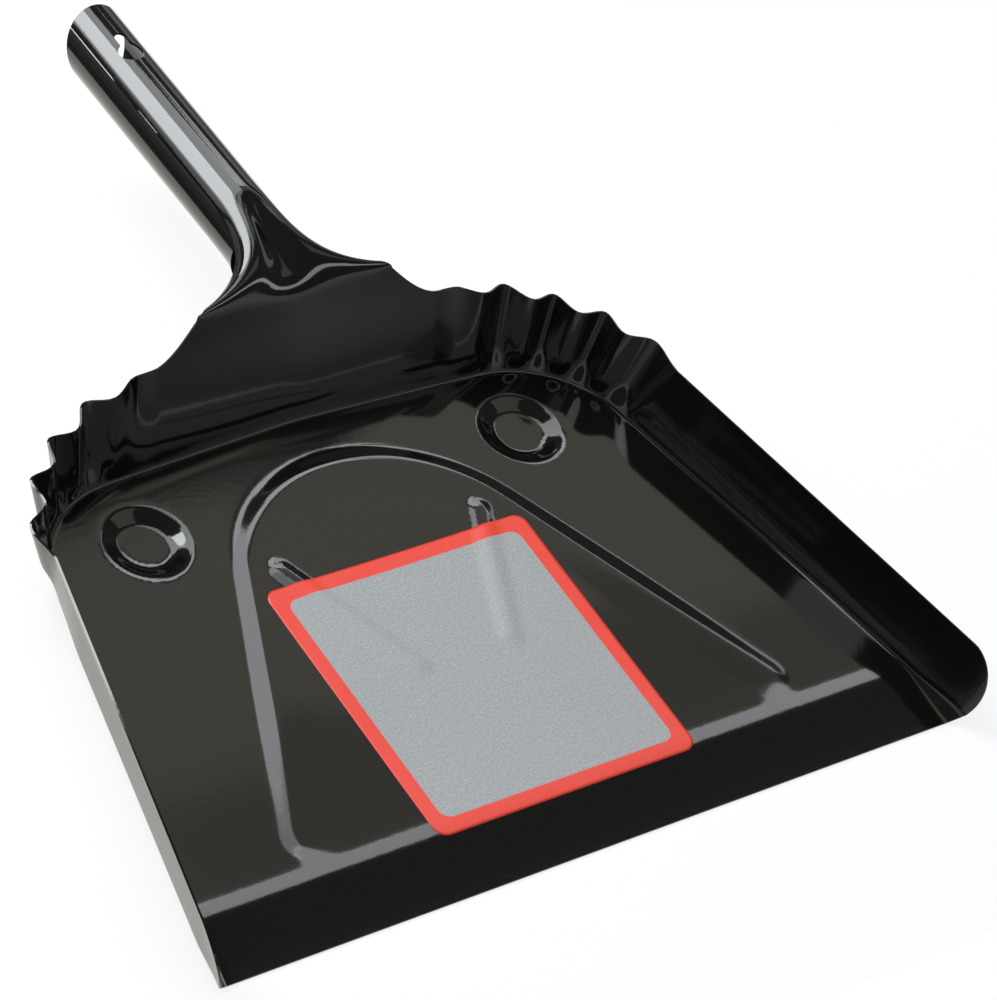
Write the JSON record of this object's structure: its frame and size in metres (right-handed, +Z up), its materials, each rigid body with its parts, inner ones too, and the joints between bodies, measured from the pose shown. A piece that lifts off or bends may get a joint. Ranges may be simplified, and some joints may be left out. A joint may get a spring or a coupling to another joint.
{
  "type": "dustpan",
  "caption": "Pressed steel dustpan with splayed sides, fluted rear corners, a raised horseshoe bead, a rolled tube handle with a keyhole, and a plain bordered label.",
  "frame": {"origin": "centre of the bounding box on the ground the pan rests on", "axes": "+Z up, +Y from the lip towards the handle, +X to the right seen from the lip"},
  "size_m": [0.3078, 0.3362, 0.0561],
  "materials": {
    "black_enamel": "gloss",
    "label_film": "satin"
  },
  "bodies": {
    "root": {"dustpan": "black_enamel", "label": "label_film"}
  },
  "joints": []
}
